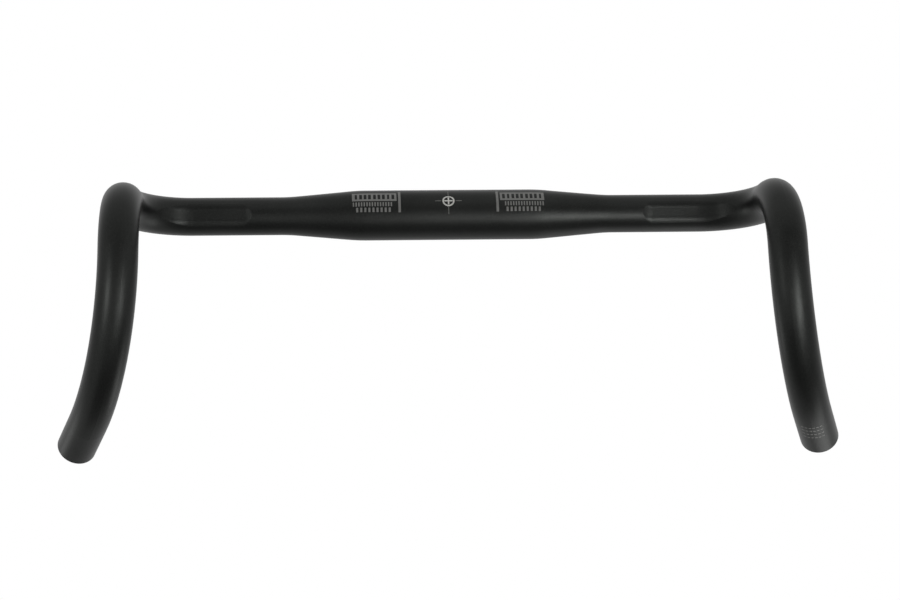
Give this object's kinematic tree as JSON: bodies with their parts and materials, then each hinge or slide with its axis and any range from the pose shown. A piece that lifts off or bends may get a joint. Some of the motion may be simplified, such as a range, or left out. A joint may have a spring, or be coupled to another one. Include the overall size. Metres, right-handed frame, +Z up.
{
  "type": "gravel drop handlebar",
  "caption": "Flared drop handlebar: one bent metal tube, swaged up at the middle for a stem, with cable grooves in the tops and open, outward-leaning ends.",
  "frame": {"origin": "middle of the centre section, on the tube's axis, where the stem clamps", "axes": "+X along the centre section to the rider's left, -Y forward, +Z up, with the corners level"},
  "size_m": [0.4866, 0.1071, 0.1717],
  "materials": {
    "bar": "satin black anodised"
  },
  "bodies": {
    "root": {"handlebar": "bar"}
  },
  "joints": []
}
